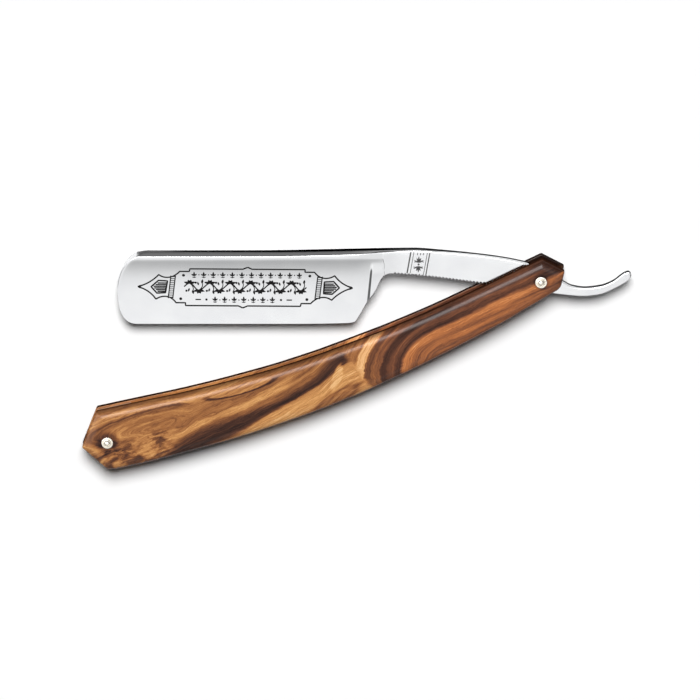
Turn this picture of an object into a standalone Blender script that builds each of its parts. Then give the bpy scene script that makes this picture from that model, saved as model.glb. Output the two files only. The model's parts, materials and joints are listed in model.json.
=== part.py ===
"""Straight razor, lying on its side and part open.

A hollow-ground blade turns on a pivot pin between two wooden scales, which a tapered wedge holds
apart at their free end. Each pin goes through the scales and is peened over a stack of two collars
on each side.

Lengths below are in millimetres and MM turns them into metres. The blade and the handle are each
drawn round the pivot, with the handle running towards -X, +Y towards the blade's spine and +Z
towards the show side. The finished razor stands on the XY plane, centred on the origin.
"""

import math

import bmesh
import bpy
from mathutils import Matrix, Vector

MM = 0.001
CLEARANCE = 0.05  # between pieces that touch or turn on each other
OPEN_ANGLE = 21.15  # degrees, from the handle's pin line to the blade

# Blade
EDGE_Y = -14.7
SPINE_Y = 8.24
NOSE_TOP = (-120.7, 9.0, 2.0)  # middle x, reach and roundness of the nose's upper half
NOSE_LOW = (-123.5, 6.2, 2.6)
NOSE_ZONE_END = -110.0
NOSE_STEPS = 6
EDGE_HALF = 0.05
SPINE_HALF = ((-130.0, 2.85), (-62.0, 3.0), (-42.0, 1.95), (0.0, 1.5), (10.0, 1.4), (27.8, 1.1))
SPINE_CHAMFER = 0.55
SPINE_BACK_HALF = 1.8
FLANK = 1.45
SMALL_CHAMFER = 0.12
HOLLOW_POWER = 2.5
RIDGE_TOP = Vector((-51.7, 5.2))
RIDGE_LEAN = 0.09
RIDGE_WIDTH = 1.4
SHOULDER_HALF = 2.25
SHOULDER_TOP_Y = 7.0
SHOULDER_POWER = 1.5
TOP_EDGE = (
    (-130.0, SPINE_Y), (-85.0, 8.3), (-58.5, 8.8), (-46.8, 9.05), (-38.5, 9.15), (-30.9, 8.6),
    (-15.5, 6.96), (-5.1, 5.0), (0.0, 2.9), (6.9, -1.1), (9.7, -2.5), (13.4, -3.06), (18.3, -2.5),
    (21.9, -1.1), (26.1, 1.85), (26.9, 2.05), (27.5, 1.7), (27.8, 1.1),
)
LOWER_EDGE = (
    (-130.0, EDGE_Y), (-75.0, -14.7), (-59.5, -14.45), (-57.2, -14.1), (-55.7, -12.1),
    (-53.2, -7.6), (-50.6, -3.6), (-48.9, 0.0), (-47.6, 1.5), (-46.0, 1.95), (-43.5, 1.7),
    (-36.0, 1.0), (-19.3, -1.2), (0.0, -3.9), (7.5, -5.0), (13.3, -5.44), (18.2, -4.9),
    (21.9, -3.4), (25.9, -1.2), (27.2, -0.1), (27.8, 0.7),
)
COLUMN_RUNS = ((-58.0, 8), (-54.5, 3), (-50.5, 8), (-45.0, 7), (0.0, 11), (26.1, 14), (27.8, 4))
HOLLOW_ROWS = (0.1, 0.22, 0.36, 0.52, 0.7, 0.85, 0.94, 0.98, 1.0)

# Thumb notches under the tang
JIMP_START_X = -44.6
JIMP_PITCH = 1.05
JIMP_COUNT = 34
JIMP_RADIUS = 0.36

# Handle, drawn along its pin line
PIN_SPAN = 142.85
SCALE_THICKNESS = 3.2
SLOT_HALF = 1.95  # from the middle plane to a scale, at the pivot
WEDGE_HALF = 1.4  # the same, at the wedge pin
RIGHT_END = ((2.0, -4.8), (3.8, -4.5), (5.15, -3.75), (7.9, 0.35), (2.7, 6.35))
HANDLE_TOP = (
    (-142.5, 10.1), (-128.5, 8.0), (-114.6, 5.9), (-97.5, 3.95), (-83.0, 2.8), (-68.8, 2.35),
    (-54.0, 2.4), (-39.5, 2.85), (-20.7, 4.25), (2.7, 6.35),
)
HANDLE_BOTTOM = (
    (-144.3, -9.0), (-133.5, -10.6), (-116.4, -12.3), (-98.0, -13.5), (-79.4, -13.95),
    (-65.6, -13.55), (-51.0, -12.5), (-20.0, -8.8), (2.0, -4.8),
)
LEFT_END = ((-142.5, 10.1), (-150.9, 1.0), (-146.3, -8.2))
EDGE_STEPS = 14
SHOULDER_INSET = 3.0
SHOULDER_RISE = 1.4
SHOULDER_STEPS = 4
WEDGE_FRONT_X = -132.0
WEDGE_INSET = 0.4

# Pins, collars and washers
PIN_RADIUS = 0.75
PIN_FLAT_RADIUS = 0.5
PIN_DOME = 0.13
COLLAR_RADIUS = 1.8
COLLAR_THICKNESS = 0.42
INNER_COLLAR_RADIUS = 1.15
INNER_COLLAR_THICKNESS = 0.4
COLLAR_ROUND = 0.14
WASHER_RADIUS = 2.4
TURN_STEPS = 24
CUTTER_LENGTH = 30.0


def clear_scene():
    for obj in list(bpy.data.objects):
        bpy.data.objects.remove(obj, do_unlink=True)


def new_collection(name):
    collection = bpy.data.collections.new(name)
    bpy.context.scene.collection.children.link(collection)
    return collection


def new_material(name, color, roughness, metallic):
    material = bpy.data.materials.new(name)
    material.use_nodes = True
    shader = material.node_tree.nodes["Principled BSDF"]
    shader.inputs["Base Color"].default_value = (*color, 1.0)
    shader.inputs["Roughness"].default_value = roughness
    shader.inputs["Metallic"].default_value = metallic
    return material


def steel():
    return new_material("polished_steel", (0.78, 0.79, 0.80), 0.12, 1.0)


def figured_wood():
    return new_material("figured_wood", (0.36, 0.17, 0.07), 0.3, 0.0)


def wedge_wood():
    return new_material("wedge_wood", (0.30, 0.15, 0.06), 0.4, 0.0)


def nickel_silver():
    return new_material("nickel_silver", (0.80, 0.77, 0.68), 0.2, 1.0)


def bronze():
    return new_material("washer_bronze", (0.62, 0.44, 0.22), 0.35, 1.0)


def link_mesh(name, bm, material, collection, parent=None):
    mesh = bpy.data.meshes.new(name)
    bm.to_mesh(mesh)
    bm.free()
    obj = bpy.data.objects.new(name, mesh)
    collection.objects.link(obj)
    obj.parent = parent
    if material:
        mesh.materials.append(material)
    return obj


def smooth(obj, degrees=25):
    obj.data.shade_smooth()
    obj.data.set_sharp_from_angle(angle=math.radians(degrees))


def empty(name, collection, parent=None):
    obj = bpy.data.objects.new(name, None)
    collection.objects.link(obj)
    obj.parent = parent
    return obj


def hide_cutter(obj):
    obj.hide_render = True
    obj.display_type = "WIRE"


def cut(obj, cutter):
    modifier = obj.modifiers.new(cutter.name, "BOOLEAN")
    modifier.operation = "DIFFERENCE"
    modifier.solver = "EXACT"
    modifier.object = cutter


def blend(t):
    """Smooth step from 0 to 1."""
    t = min(1.0, max(0.0, t))
    return t * t * (3 - 2 * t)


def mix(a, b, t):
    return a + (b - a) * t


def curve_through(points):
    """A smooth function through points in order of x, which never overshoots them."""
    xs = [p[0] for p in points]
    ys = [p[1] for p in points]
    slopes = [(ys[i + 1] - ys[i]) / (xs[i + 1] - xs[i]) for i in range(len(xs) - 1)]
    tangents = [slopes[0]]
    for before, after in zip(slopes, slopes[1:]):
        same_way = before * after > 0
        tangents.append(2 * before * after / (before + after) if same_way else 0.0)
    tangents.append(slopes[-1])

    def at(x):
        x = min(xs[-1], max(xs[0], x))
        i = 0
        while i < len(slopes) - 1 and x > xs[i + 1]:
            i += 1
        width = xs[i + 1] - xs[i]
        t = (x - xs[i]) / width
        rise = t * t * (3 - 2 * t)
        start = t * (1 - t) ** 2 * width * tangents[i]
        end = t * t * (t - 1) * width * tangents[i + 1]
        return mix(ys[i], ys[i + 1], rise) + start + end

    return at


top_edge = curve_through(TOP_EDGE)
lower_edge = curve_through(LOWER_EDGE)
spine_half = curve_through(SPINE_HALF)


def on_tang(x):
    """0 along the blade and 1 along the tang, where the spine's chamfer has run out."""
    return blend((x + 58.0) / 18.0)


def chamfer(x):
    return mix(SPINE_CHAMFER, SMALL_CHAMFER, on_tang(x))


def back_half(x):
    return mix(SPINE_BACK_HALF, spine_half(x) - SMALL_CHAMFER, on_tang(x))


def half_thickness(x, y):
    """Half the blade's thickness at a point of its side view."""
    below = top_edge(x) - y
    full = spine_half(x)
    if below < chamfer(x):
        return mix(back_half(x), full, below / chamfer(x))
    flank_end = top_edge(x) - chamfer(x) - FLANK
    if y >= flank_end:
        return full
    depth = min(1.0, (flank_end - y) / (flank_end - EDGE_Y))
    hollow = EDGE_HALF + (full - EDGE_HALF) * (1 - depth) ** HOLLOW_POWER
    drop = max(0.0, SHOULDER_TOP_Y - y) / (SHOULDER_TOP_Y - EDGE_Y)
    shoulder = min(full, max(EDGE_HALF, SHOULDER_HALF * (1 - drop**SHOULDER_POWER)))
    if x > -45.0:
        shoulder = full
    ridge_x = RIDGE_TOP.x - RIDGE_LEAN * (RIDGE_TOP.y - y)
    return mix(hollow, shoulder, blend((x - ridge_x) / RIDGE_WIDTH + 0.5))


def nose_x(y):
    """The nose's outline, a round upper half that runs into a squarer lower half."""
    middle, half = (SPINE_Y + EDGE_Y) / 2, (SPINE_Y - EDGE_Y) / 2
    centre, reach, power = NOSE_TOP if y > middle else NOSE_LOW
    off_middle = min(1.0, abs(y - middle) / half)
    return centre - reach * (1 - off_middle**power) ** (1 / power)


def blade_columns():
    """(x of the column, how much of the nose's curve it keeps)."""
    columns = [(NOSE_ZONE_END, 1 - i / NOSE_STEPS) for i in range(NOSE_STEPS)]
    start = NOSE_ZONE_END
    for end, steps in COLUMN_RUNS:
        columns += [(mix(start, end, i / steps), 0.0) for i in range(steps)]
        start = end
    return columns + [(start, 0.0)]


def column_points(x, nose):
    """The show side's points on one column, from the spine's back to the edge."""
    top, low = top_edge(x), lower_edge(x)
    flank_end = top - chamfer(x) - min(FLANK, 0.3 * (top - low))
    heights = [top, top - chamfer(x), flank_end]
    heights += [mix(flank_end, low, f) for f in HOLLOW_ROWS]
    points = []
    for y in heights:
        across = mix(x, nose_x(y), nose)
        points.append(Vector((across, y, half_thickness(across, y))))
    return points


def blade_mesh():
    bm = bmesh.new()
    rings = []
    for x, nose in blade_columns():
        front = column_points(x, nose)
        back = [Vector((p.x, p.y, -p.z)) for p in reversed(front)]
        rings.append([bm.verts.new(p * MM) for p in front + back])
    count = len(rings[0])
    for ring, after in zip(rings, rings[1:]):
        for i in range(count):
            j = (i + 1) % count
            bm.faces.new((ring[i], ring[j], after[j], after[i]))
    for ring in (rings[0], rings[-1]):
        for i in range(count // 2 - 1):
            bm.faces.new((ring[i], ring[i + 1], ring[count - 2 - i], ring[count - 1 - i]))
    bmesh.ops.recalc_face_normals(bm, faces=bm.faces)
    return bm


def jimp_cutter(collection, parent):
    bm = bmesh.new()
    for i in range(JIMP_COUNT):
        x = JIMP_START_X + i * JIMP_PITCH
        place = Matrix.Translation(Vector((x, lower_edge(x), 0.0)) * MM)
        bmesh.ops.create_cone(
            bm, cap_ends=True, segments=8, radius1=JIMP_RADIUS * MM, radius2=JIMP_RADIUS * MM,
            depth=8 * MM, matrix=place,
        )
    cutter = link_mesh("jimp_cutter", bm, None, collection, parent)
    hide_cutter(cutter)
    return cutter


def hole_cutter(name, x, collection, parent):
    """A round cutter along Z, for the hole of a pin at x on the pin line."""
    bm = bmesh.new()
    radius = (PIN_RADIUS + CLEARANCE) * MM
    bmesh.ops.create_cone(
        bm, cap_ends=True, segments=TURN_STEPS, radius1=radius, radius2=radius,
        depth=CUTTER_LENGTH * MM, matrix=Matrix.Translation((x * MM, 0, 0)),
    )
    cutter = link_mesh(name, bm, None, collection, parent)
    hide_cutter(cutter)
    return cutter


def make_blade(parts, cutters, joint):
    blade = link_mesh("blade", blade_mesh(), steel(), parts, joint)
    cut(blade, jimp_cutter(cutters, joint))
    cut(blade, hole_cutter("blade_hole", 0.0, cutters, joint))
    smooth(blade, 12)
    return blade


def points_on(curve, start, end):
    """Points of a curve of x from start up to but not at end."""
    xs = [mix(start, end, i / EDGE_STEPS) for i in range(EDGE_STEPS)]
    return [Vector((x, curve(x))) for x in xs]


def handle_outline():
    """The scales' outline, anticlockwise from the lower right."""
    outline = [Vector(p) for p in RIGHT_END[:-1]]
    outline += points_on(curve_through(HANDLE_TOP), HANDLE_TOP[-1][0], HANDLE_TOP[0][0])
    outline += [Vector(p) for p in LEFT_END]
    bottom = curve_through(HANDLE_BOTTOM)
    return outline + points_on(bottom, HANDLE_BOTTOM[0][0], HANDLE_BOTTOM[-1][0])


def inset(outline, distance):
    """The outline moved inwards, with its corners kept sharp."""
    moved = []
    for i, point in enumerate(outline):
        before = (point - outline[i - 1]).normalized()
        after = (outline[(i + 1) % len(outline)] - point).normalized()
        in_before = Vector((-before.y, before.x))
        in_after = Vector((-after.y, after.x))
        corner = in_before + in_after
        moved.append(point + corner * (distance / (1 + in_before.dot(in_after))))
    return moved


def slab(levels):
    """A closed solid from (outline, z) levels that all have the same number of points."""
    bm = bmesh.new()
    rings = [[bm.verts.new(Vector((*p, z)) * MM) for p in outline] for outline, z in levels]
    for ring, above in zip(rings, rings[1:]):
        for i in range(len(ring)):
            j = (i + 1) % len(ring)
            bm.faces.new((ring[i], ring[j], above[j], above[i]))
    bm.faces.new(reversed(rings[0]))
    bm.faces.new(rings[-1])
    bmesh.ops.recalc_face_normals(bm, faces=bm.faces)
    return bm


def scale_levels():
    """Flat inside, straight sides, then a round shoulder up to the flat show face."""
    outline = handle_outline()
    levels = [(outline, 0.0)]
    for i in range(SHOULDER_STEPS + 1):
        angle = math.pi / 2 * i / SHOULDER_STEPS
        rise = SCALE_THICKNESS - SHOULDER_RISE * (1 - math.sin(angle))
        levels.append((inset(outline, SHOULDER_INSET * (1 - math.cos(angle))), rise))
    return levels


def slot_half(x):
    """From the middle plane to the inner face of a scale, at x on the pin line."""
    return mix(SLOT_HALF, WEDGE_HALF, -x / PIN_SPAN)


def place_on_side(obj, side):
    """Leans a scale so that it meets the pivot's washers and the wedge, on side +1 or -1."""
    lean = math.atan((SLOT_HALF - WEDGE_HALF) / PIN_SPAN)
    lift = Matrix.Translation((0, 0, SLOT_HALF * MM)) @ Matrix.Rotation(-lean, 4, "Y")
    obj.data.transform(lift)
    if side < 0:
        obj.data.transform(Matrix.Scale(-1, 4, (0, 0, 1)))
        obj.data.flip_normals()


def make_scale(name, side, wood, parts, cutters, handle):
    scale = link_mesh(name, slab(scale_levels()), wood, parts, handle)
    place_on_side(scale, side)
    cut(scale, hole_cutter(name + "_pivot_hole", 0.0, cutters, handle))
    cut(scale, hole_cutter(name + "_wedge_hole", -PIN_SPAN, cutters, handle))
    smooth(scale)
    return scale


def height_at(outline, x, upper):
    """The outline's upper or lower height at x."""
    heights = []
    for a, b in zip(outline, outline[1:] + outline[:1]):
        if (a.x - x) * (b.x - x) < 0:
            heights.append(mix(a.y, b.y, (x - a.x) / (b.x - a.x)))
    return max(heights) if upper else min(heights)


def wedge_outline():
    """The end of the handle's outline, beyond the wedge's front."""
    edge = inset(handle_outline(), WEDGE_INSET)
    tail = [p for p in edge if p.x < WEDGE_FRONT_X]
    top = Vector((WEDGE_FRONT_X, height_at(edge, WEDGE_FRONT_X, True)))
    low = Vector((WEDGE_FRONT_X, height_at(edge, WEDGE_FRONT_X, False)))
    return [top] + tail + [low]


def make_wedge(parts, cutters, handle):
    outline = wedge_outline()
    bm = slab([(outline, -1.0), (outline, 1.0)])
    for vert in bm.verts:
        half = slot_half(vert.co.x / MM) - CLEARANCE
        vert.co.z = math.copysign(half * MM, vert.co.z)
    wedge = link_mesh("wedge", bm, wedge_wood(), parts, handle)
    cut(wedge, hole_cutter("wedge_hole", -PIN_SPAN, cutters, handle))
    return wedge


def turned(name, profile, material, parts, handle, x):
    """A profile of (radius, z) points turned round a line along Z, at x on the pin line."""
    bm = bmesh.new()
    verts = [bm.verts.new(Vector((r, 0.0, z)) * MM) for r, z in profile]
    for a, b in zip(verts, verts[1:]):
        bm.edges.new((a, b))
    if profile[0][0] > 0:
        bm.edges.new((verts[-1], verts[0]))
    obj = link_mesh(name, bm, material, parts, handle)
    obj.location = (x * MM, 0, 0)
    screw = obj.modifiers.new("turn", "SCREW")
    screw.steps = screw.render_steps = TURN_STEPS
    screw.use_merge_vertices = True
    screw.merge_threshold = 1e-6
    screw.use_smooth_shade = False
    return obj


def stack_height(x):
    """Where the outer collar starts, at x on the pin line."""
    return slot_half(x) + SCALE_THICKNESS + CLEARANCE


def ring_profile(inner, outer, low, high, rounding):
    """A ring's section, down its outer side and back up its bore."""
    points = [(inner, high), (outer - rounding, high)]
    points += [(outer - 0.3 * rounding, high - 0.3 * rounding), (outer, high - rounding)]
    return points + [(outer, low), (inner, low)]


def mirrored(profile, side):
    """The same section below the middle plane, still running down its outer side."""
    if side > 0:
        return profile
    return [(r, -z) for r, z in reversed(profile)]


def make_pin(name, x, metal, parts, handle):
    reach = stack_height(x) + COLLAR_THICKNESS + INNER_COLLAR_THICKNESS + CLEARANCE
    top = reach + PIN_DOME
    half = [(0.0, top), (PIN_FLAT_RADIUS, top), (PIN_RADIUS, reach - 0.05)]
    return turned(name, half + mirrored(half, -1), metal, parts, handle, x)


def make_collars(prefix, x, metal, parts, handle):
    """Two stacked collars on each side of the handle."""
    bore = PIN_RADIUS + CLEARANCE
    low = stack_height(x)
    middle = low + COLLAR_THICKNESS
    outer = ring_profile(bore, COLLAR_RADIUS, low, middle, COLLAR_ROUND)
    inner_low = middle + CLEARANCE
    high = middle + INNER_COLLAR_THICKNESS
    inner = ring_profile(bore, INNER_COLLAR_RADIUS, inner_low, high, COLLAR_ROUND)
    for place, side in (("front", 1), ("back", -1)):
        turned(f"{prefix}_collar_{place}", mirrored(outer, side), metal, parts, handle, x)
        turned(f"{prefix}_inner_collar_{place}", mirrored(inner, side), metal, parts, handle, x)


def make_washers(parts, handle):
    """Thrust washers between the tang and the scales."""
    metal = bronze()
    bore = PIN_RADIUS + CLEARANCE
    low = spine_half(-WASHER_RADIUS) + CLEARANCE
    profile = ring_profile(bore, WASHER_RADIUS, low, SLOT_HALF - CLEARANCE, 0.02)
    for place, side in (("front", 1), ("back", -1)):
        turned(f"thrust_washer_{place}", mirrored(profile, side), metal, parts, handle, 0.0)


def stand_on_floor(root, parts):
    """Centres the razor over the origin, with its lowest point on the XY plane."""
    bpy.context.view_layer.update()
    graph = bpy.context.evaluated_depsgraph_get()
    corners = []
    for obj in parts.objects:
        if obj.type == "MESH":
            evaluated = obj.evaluated_get(graph)
            corners += [evaluated.matrix_world @ v.co for v in evaluated.data.vertices]
    low = [min(c[i] for c in corners) for i in range(3)]
    high = [max(c[i] for c in corners) for i in range(3)]
    root.location = (-(low[0] + high[0]) / 2, -(low[1] + high[1]) / 2, -low[2])


def main():
    clear_scene()
    parts = new_collection("straight_razor")
    cutters = new_collection("cutters")
    root = empty("pivot", parts)
    handle = empty("handle", parts, root)
    handle.rotation_euler.z = math.radians(OPEN_ANGLE)
    joint = empty("blade_joint", parts, root)
    make_blade(parts, cutters, joint)
    wood = figured_wood()
    make_scale("front_scale", 1, wood, parts, cutters, handle)
    make_scale("back_scale", -1, wood.copy(), parts, cutters, handle)
    make_wedge(parts, cutters, handle)
    metal = nickel_silver()
    make_pin("pivot_pin", 0.0, metal, parts, handle)
    make_pin("wedge_pin", -PIN_SPAN, metal, parts, handle)
    make_collars("pivot", 0.0, metal, parts, handle)
    make_collars("wedge", -PIN_SPAN, metal, parts, handle)
    make_washers(parts, handle)
    stand_on_floor(root, parts)


main()
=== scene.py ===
import json
import math

import bmesh
import bpy
from mathutils import Matrix, Vector


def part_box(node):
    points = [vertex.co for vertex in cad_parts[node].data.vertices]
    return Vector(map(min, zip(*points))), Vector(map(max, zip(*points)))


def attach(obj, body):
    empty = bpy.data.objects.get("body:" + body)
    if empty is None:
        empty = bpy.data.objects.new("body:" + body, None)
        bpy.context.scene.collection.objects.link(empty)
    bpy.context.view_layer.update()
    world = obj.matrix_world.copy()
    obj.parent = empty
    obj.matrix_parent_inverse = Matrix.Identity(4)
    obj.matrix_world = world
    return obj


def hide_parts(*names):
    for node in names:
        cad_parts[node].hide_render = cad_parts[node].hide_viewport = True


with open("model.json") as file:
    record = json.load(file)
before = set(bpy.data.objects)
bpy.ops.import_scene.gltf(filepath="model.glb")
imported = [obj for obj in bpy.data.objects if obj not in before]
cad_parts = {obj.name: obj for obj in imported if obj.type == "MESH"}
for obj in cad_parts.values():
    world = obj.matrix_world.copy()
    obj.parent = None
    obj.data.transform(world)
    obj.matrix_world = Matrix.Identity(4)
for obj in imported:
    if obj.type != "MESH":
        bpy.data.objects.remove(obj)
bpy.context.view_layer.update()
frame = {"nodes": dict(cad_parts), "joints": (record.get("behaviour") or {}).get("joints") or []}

MM = 0.001
PIVOT = Vector(frame["joints"][0]["pos_m"])


def centre_of(node):
    low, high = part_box(node)
    return (low + high) / 2


WEDGE_PIN = centre_of("wedge_pin")
TO_WEDGE = (WEDGE_PIN - PIVOT) / MM
PIN_SPAN = math.hypot(TO_WEDGE.x, TO_WEDGE.y)
OPEN_ANGLE = math.atan2(-TO_WEDGE.y, -TO_WEDGE.x)

# Blade, in millimetres round the pivot, as in the CAD part
EDGE_Y = -14.7
SPINE_Y = 8.24
NOSE_TOP = (-120.7, 9.0, 2.0)  # centre, reach and power of the nose's upper curve
NOSE_LOW = (-123.5, 6.2, 2.6)  # and of its lower one
NOSE_ZONE_END = -110.0
NOSE_ZONE = 16.0
EDGE_HALF = 0.05
SPINE_HALF = ((-130.0, 2.85), (-62.0, 3.0), (-42.0, 1.95), (0.0, 1.5), (10.0, 1.4), (27.8, 1.1))
SPINE_CHAMFER = ((-130.0, 0.75), (-100.0, 0.76), (-75.0, 0.72), (-58.0, 0.64), (-45.0, 0.6))
SPINE_BACK_HALF = ((-130.0, 1.75), (-100.0, 1.8), (-62.0, 1.85), (-45.0, 1.5))
FLANK_END = ((-130.0, 6.7), (-100.0, 6.75), (-62.0, 6.95), (-45.0, 7.0))
HOLLOW_POWER = 2.5
RIDGE_TOP = Vector((-51.7, 5.2))
RIDGE_LEAN = 0.09
RIDGE_WIDTH = 1.1
RIDGE_RISE = 0.5
RIDGE_FADE = 3.2
PLATEAU_END = -48.4
PLATEAU_SLOPE = 0.95
TANG_ROUND = 0.32
TANG_BEVEL = (0.26, 0.07)  # of its upper edge, down and in
TAIL_ROUND = 0.3
CREASE_SOFT = 0.55  # how far either side of a crease in the grind its surface eases over
TOP_EDGE = (
    (-130.0, SPINE_Y), (-85.0, 8.3), (-58.5, 8.8), (-46.8, 9.03), (-38.5, 9.13), (-30.9, 8.6),
    (-15.5, 6.96), (-5.1, 5.0), (0.0, 2.9), (6.9, -1.1), (9.7, -2.5), (13.4, -3.06), (18.3, -2.5),
    (21.9, -1.1), (26.1, 1.85), (26.9, 2.05), (27.5, 1.7), (27.8, 1.1),
)
LOWER_EDGE = (
    (-130.0, EDGE_Y), (-75.0, -14.7), (-59.5, -14.45), (-57.2, -14.1), (-55.7, -12.1),
    (-53.2, -7.6), (-50.6, -3.6), (-48.9, 0.0), (-47.6, 1.5), (-46.0, 1.95), (-43.5, 1.7),
    (-36.0, 1.0), (-19.3, -1.2), (0.0, -3.9), (7.5, -5.0), (13.3, -5.44), (18.2, -4.9),
    (21.9, -3.4), (25.9, -1.2), (27.2, -0.1), (27.8, 0.7),
)
# Thumb notches under the tang
JIMP_START_X = -44.6
JIMP_PITCH = 1.05
JIMP_COUNT = 34
JIMP_RADIUS = 0.42
PIN_RADIUS = 0.75
PIN_CLEARANCE = 0.05

# Handle, in millimetres along its pin line and across it
SCALE_THICKNESS = 3.2
SLOT_HALF = 1.95
WEDGE_HALF = 1.4
RIGHT_END = ((2.0, -4.8), (3.8, -4.5), (5.15, -3.75), (7.9, 0.35), (2.7, 6.35))
HANDLE_TOP = (
    (-142.5, 10.1), (-128.5, 8.0), (-114.6, 5.9), (-97.5, 3.95), (-83.0, 2.8), (-68.8, 2.35),
    (-54.0, 2.4), (-39.5, 2.85), (-20.7, 4.25), (2.7, 6.35),
)
HANDLE_BOTTOM = (
    (-144.3, -9.0), (-133.5, -10.6), (-116.4, -12.3), (-98.0, -13.5), (-79.4, -13.95),
    (-65.6, -13.55), (-51.0, -12.5), (-20.0, -8.8), (2.0, -4.8),
)
LEFT_END = ((-142.5, 10.1), (-150.9, 1.0), (-146.3, -8.2))
SHOULDER_INSET = 3.0
SHOULDER_RISE = 1.4
CORNER_RADIUS = 0.45
COLLAR_BORE = 0.82
COLLAR_GROOVE = 1.36  # radius of the turned groove
INNER_COLLAR_BORE = 0.86


def mix(a, b, t):
    return a + (b - a) * t


def blend(t):
    t = min(1.0, max(0.0, t))
    return t * t * (3 - 2 * t)


def curve_through(points):
    """A smooth function through points in order of x, which never overshoots them."""
    xs = [p[0] for p in points]
    ys = [p[1] for p in points]
    slopes = [(ys[i + 1] - ys[i]) / (xs[i + 1] - xs[i]) for i in range(len(xs) - 1)]
    tangents = [slopes[0]]
    for before, after in zip(slopes, slopes[1:]):
        same_way = before * after > 0
        tangents.append(2 * before * after / (before + after) if same_way else 0.0)
    tangents.append(slopes[-1])

    def at(x):
        x = min(xs[-1], max(xs[0], x))
        i = 0
        while i < len(slopes) - 1 and x > xs[i + 1]:
            i += 1
        width = xs[i + 1] - xs[i]
        t = (x - xs[i]) / width
        rise = t * t * (3 - 2 * t)
        start = t * (1 - t) ** 2 * width * tangents[i]
        end = t * t * (t - 1) * width * tangents[i + 1]
        return mix(ys[i], ys[i + 1], rise) + start + end

    return at


top_edge = curve_through(TOP_EDGE)
lower_edge = curve_through(LOWER_EDGE)
spine_half = curve_through(SPINE_HALF)
flank_end = curve_through(FLANK_END)
chamfer_drop = curve_through(SPINE_CHAMFER)
back_half = curve_through(SPINE_BACK_HALF)


def mesh_object(name, bm, material, degrees=30):
    mesh = bpy.data.meshes.new(name)
    bm.to_mesh(mesh)
    bm.free()
    obj = bpy.data.objects.new(name, mesh)
    bpy.context.scene.collection.objects.link(obj)
    mesh.materials.append(material)
    mesh.shade_smooth()
    mesh.set_sharp_from_angle(angle=math.radians(degrees))
    return obj


def from_blade(x, y, z):
    return PIVOT + Vector((x, y, z)) * MM


def from_handle(u, v, w):
    """The point u along the handle's pin line from the pivot, v across it and w up."""
    c, s = math.cos(OPEN_ANGLE), math.sin(OPEN_ANGLE)
    return PIVOT + Vector((c * u - s * v, s * u + c * v, w)) * MM


# ---------------------------------------------------------------- materials


class Field:
    """A number that varies over a surface, with arithmetic that makes nodes."""

    def __init__(self, graph, socket):
        self.graph = graph
        self.socket = socket

    def __add__(self, other):
        return self.graph.math("ADD", self, other)

    __radd__ = __add__

    def __sub__(self, other):
        return self.graph.math("SUBTRACT", self, other)

    def __rsub__(self, other):
        return self.graph.math("SUBTRACT", other, self)

    def __mul__(self, other):
        return self.graph.math("MULTIPLY", self, other)

    __rmul__ = __mul__

    def __truediv__(self, other):
        return self.graph.math("DIVIDE", self, other)

    def min(self, other):
        return self.graph.math("MINIMUM", self, other)

    def max(self, other):
        return self.graph.math("MAXIMUM", self, other)

    def abs(self):
        return self.graph.math("ABSOLUTE", self)

    def root(self):
        return self.graph.math("SQRT", self)


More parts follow.
